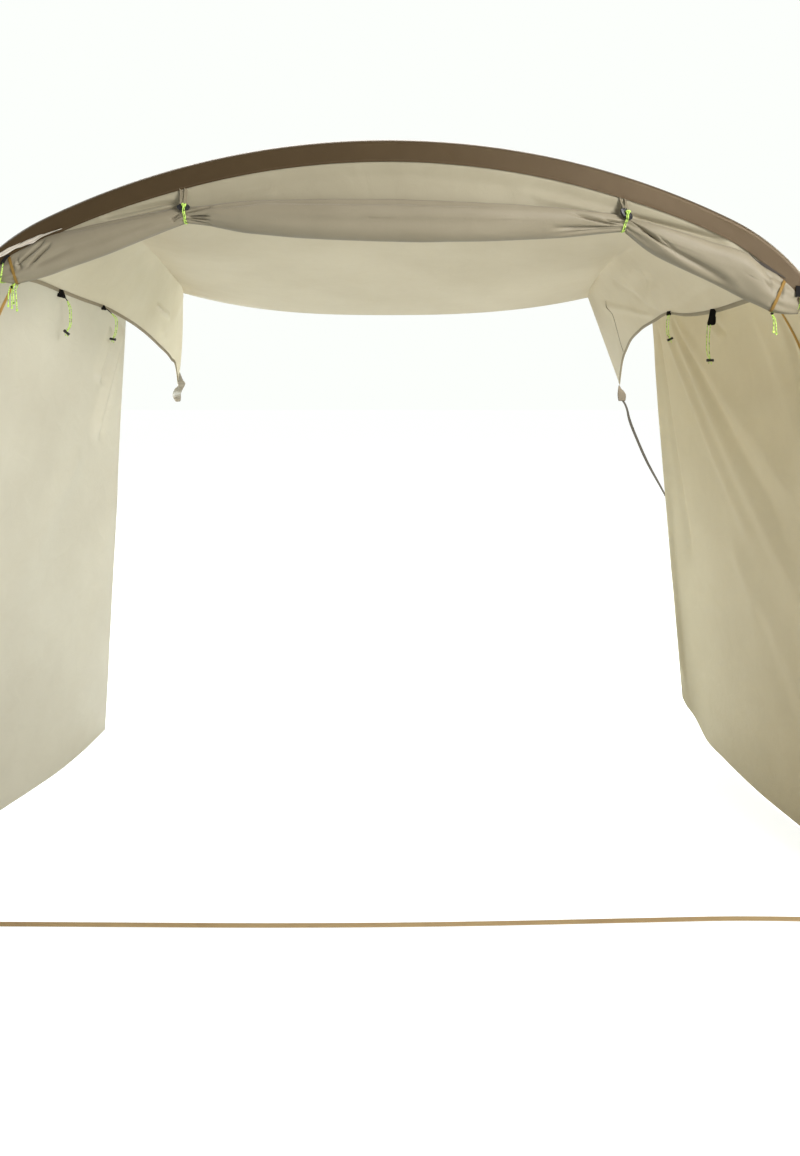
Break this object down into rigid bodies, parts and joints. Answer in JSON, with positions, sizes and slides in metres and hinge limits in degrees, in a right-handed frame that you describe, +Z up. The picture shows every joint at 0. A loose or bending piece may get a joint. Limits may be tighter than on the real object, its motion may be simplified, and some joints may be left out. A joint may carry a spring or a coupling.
{
  "type": "arched vehicle awning tent",
  "caption": "Open-fronted fabric shelter on one bent pole: roof pulled back to two low rear tips, two side walls to the ground, front door rolled up under the arch",
  "frame": {"origin": "on the ground, in the middle of the underside of the ground strap, in the plane of the arch", "axes": "+X across the front to the right seen from outside the opening, +Y from the arch back to the rear tips, +Z up"},
  "size_m": [3.5102, 2.3801, 2.2],
  "materials": {
    "sleeve": "dark brown woven polyester",
    "canopy": "beige ripless polyester, semi-translucent",
    "door": "grey taupe polyester, soft",
    "taupe_webbing": "taupe woven webbing",
    "brown_webbing": "dark brown woven webbing",
    "black_webbing": "black woven webbing",
    "orange_tape": "orange woven zip tape",
    "neon_cord": "neon green braided cord with dark flecks",
    "black_plastic": "moulded black plastic",
    "pole": "coated steel tube",
    "steel": "zinc-plated steel"
  },
  "bodies": {
    "root": {"arch_pole_crown": "pole", "arch_pole_left": "pole", "arch_pole_right": "pole", "left_foot": "black_plastic", "right_foot": "black_plastic", "sleeve_crown": "sleeve", "sleeve_left": "sleeve", "sleeve_right": "sleeve", "roof_centre": "canopy", "roof_left": "canopy", "roof_right": "canopy", "left_eave_tape": "taupe_webbing", "right_eave_tape": "taupe_webbing", "left_wall": "canopy", "right_wall": "canopy", "left_wall_zip": "orange_tape", "right_wall_zip": "orange_tape", "door_apron": "canopy", "door_roll_left": "door", "door_roll_centre": "door", "door_roll_right": "door", "left_roll_band": "orange_tape", "right_roll_band": "orange_tape", "left_upper_tie_hanger": "taupe_webbing", "right_upper_tie_hanger": "taupe_webbing", "left_upper_tie_lock": "black_plastic", "right_upper_tie_lock": "black_plastic", "left_upper_tie_cord": "neon_cord", "right_upper_tie_cord": "neon_cord", "left_shoulder_tab": "black_webbing", "right_shoulder_tab": "black_webbing", "left_shoulder_cord": "neon_cord", "right_shoulder_cord": "neon_cord", "left_front_tab": "black_webbing", "left_rear_tab": "black_webbing", "right_front_tab": "black_webbing", "right_rear_tab": "black_webbing", "left_front_cord": "neon_cord", "left_rear_cord": "neon_cord", "right_front_cord": "neon_cord", "right_rear_cord": "neon_cord", "left_front_toggle": "black_plastic", "left_rear_toggle": "black_plastic", "right_front_toggle": "black_plastic", "right_rear_toggle": "black_plastic", "left_tip_loop": "taupe_webbing", "right_tip_loop": "taupe_webbing", "rear_strap": "brown_webbing", "rear_peg": "steel", "ground_strap": "orange_tape"}
  },
  "joints": []
}
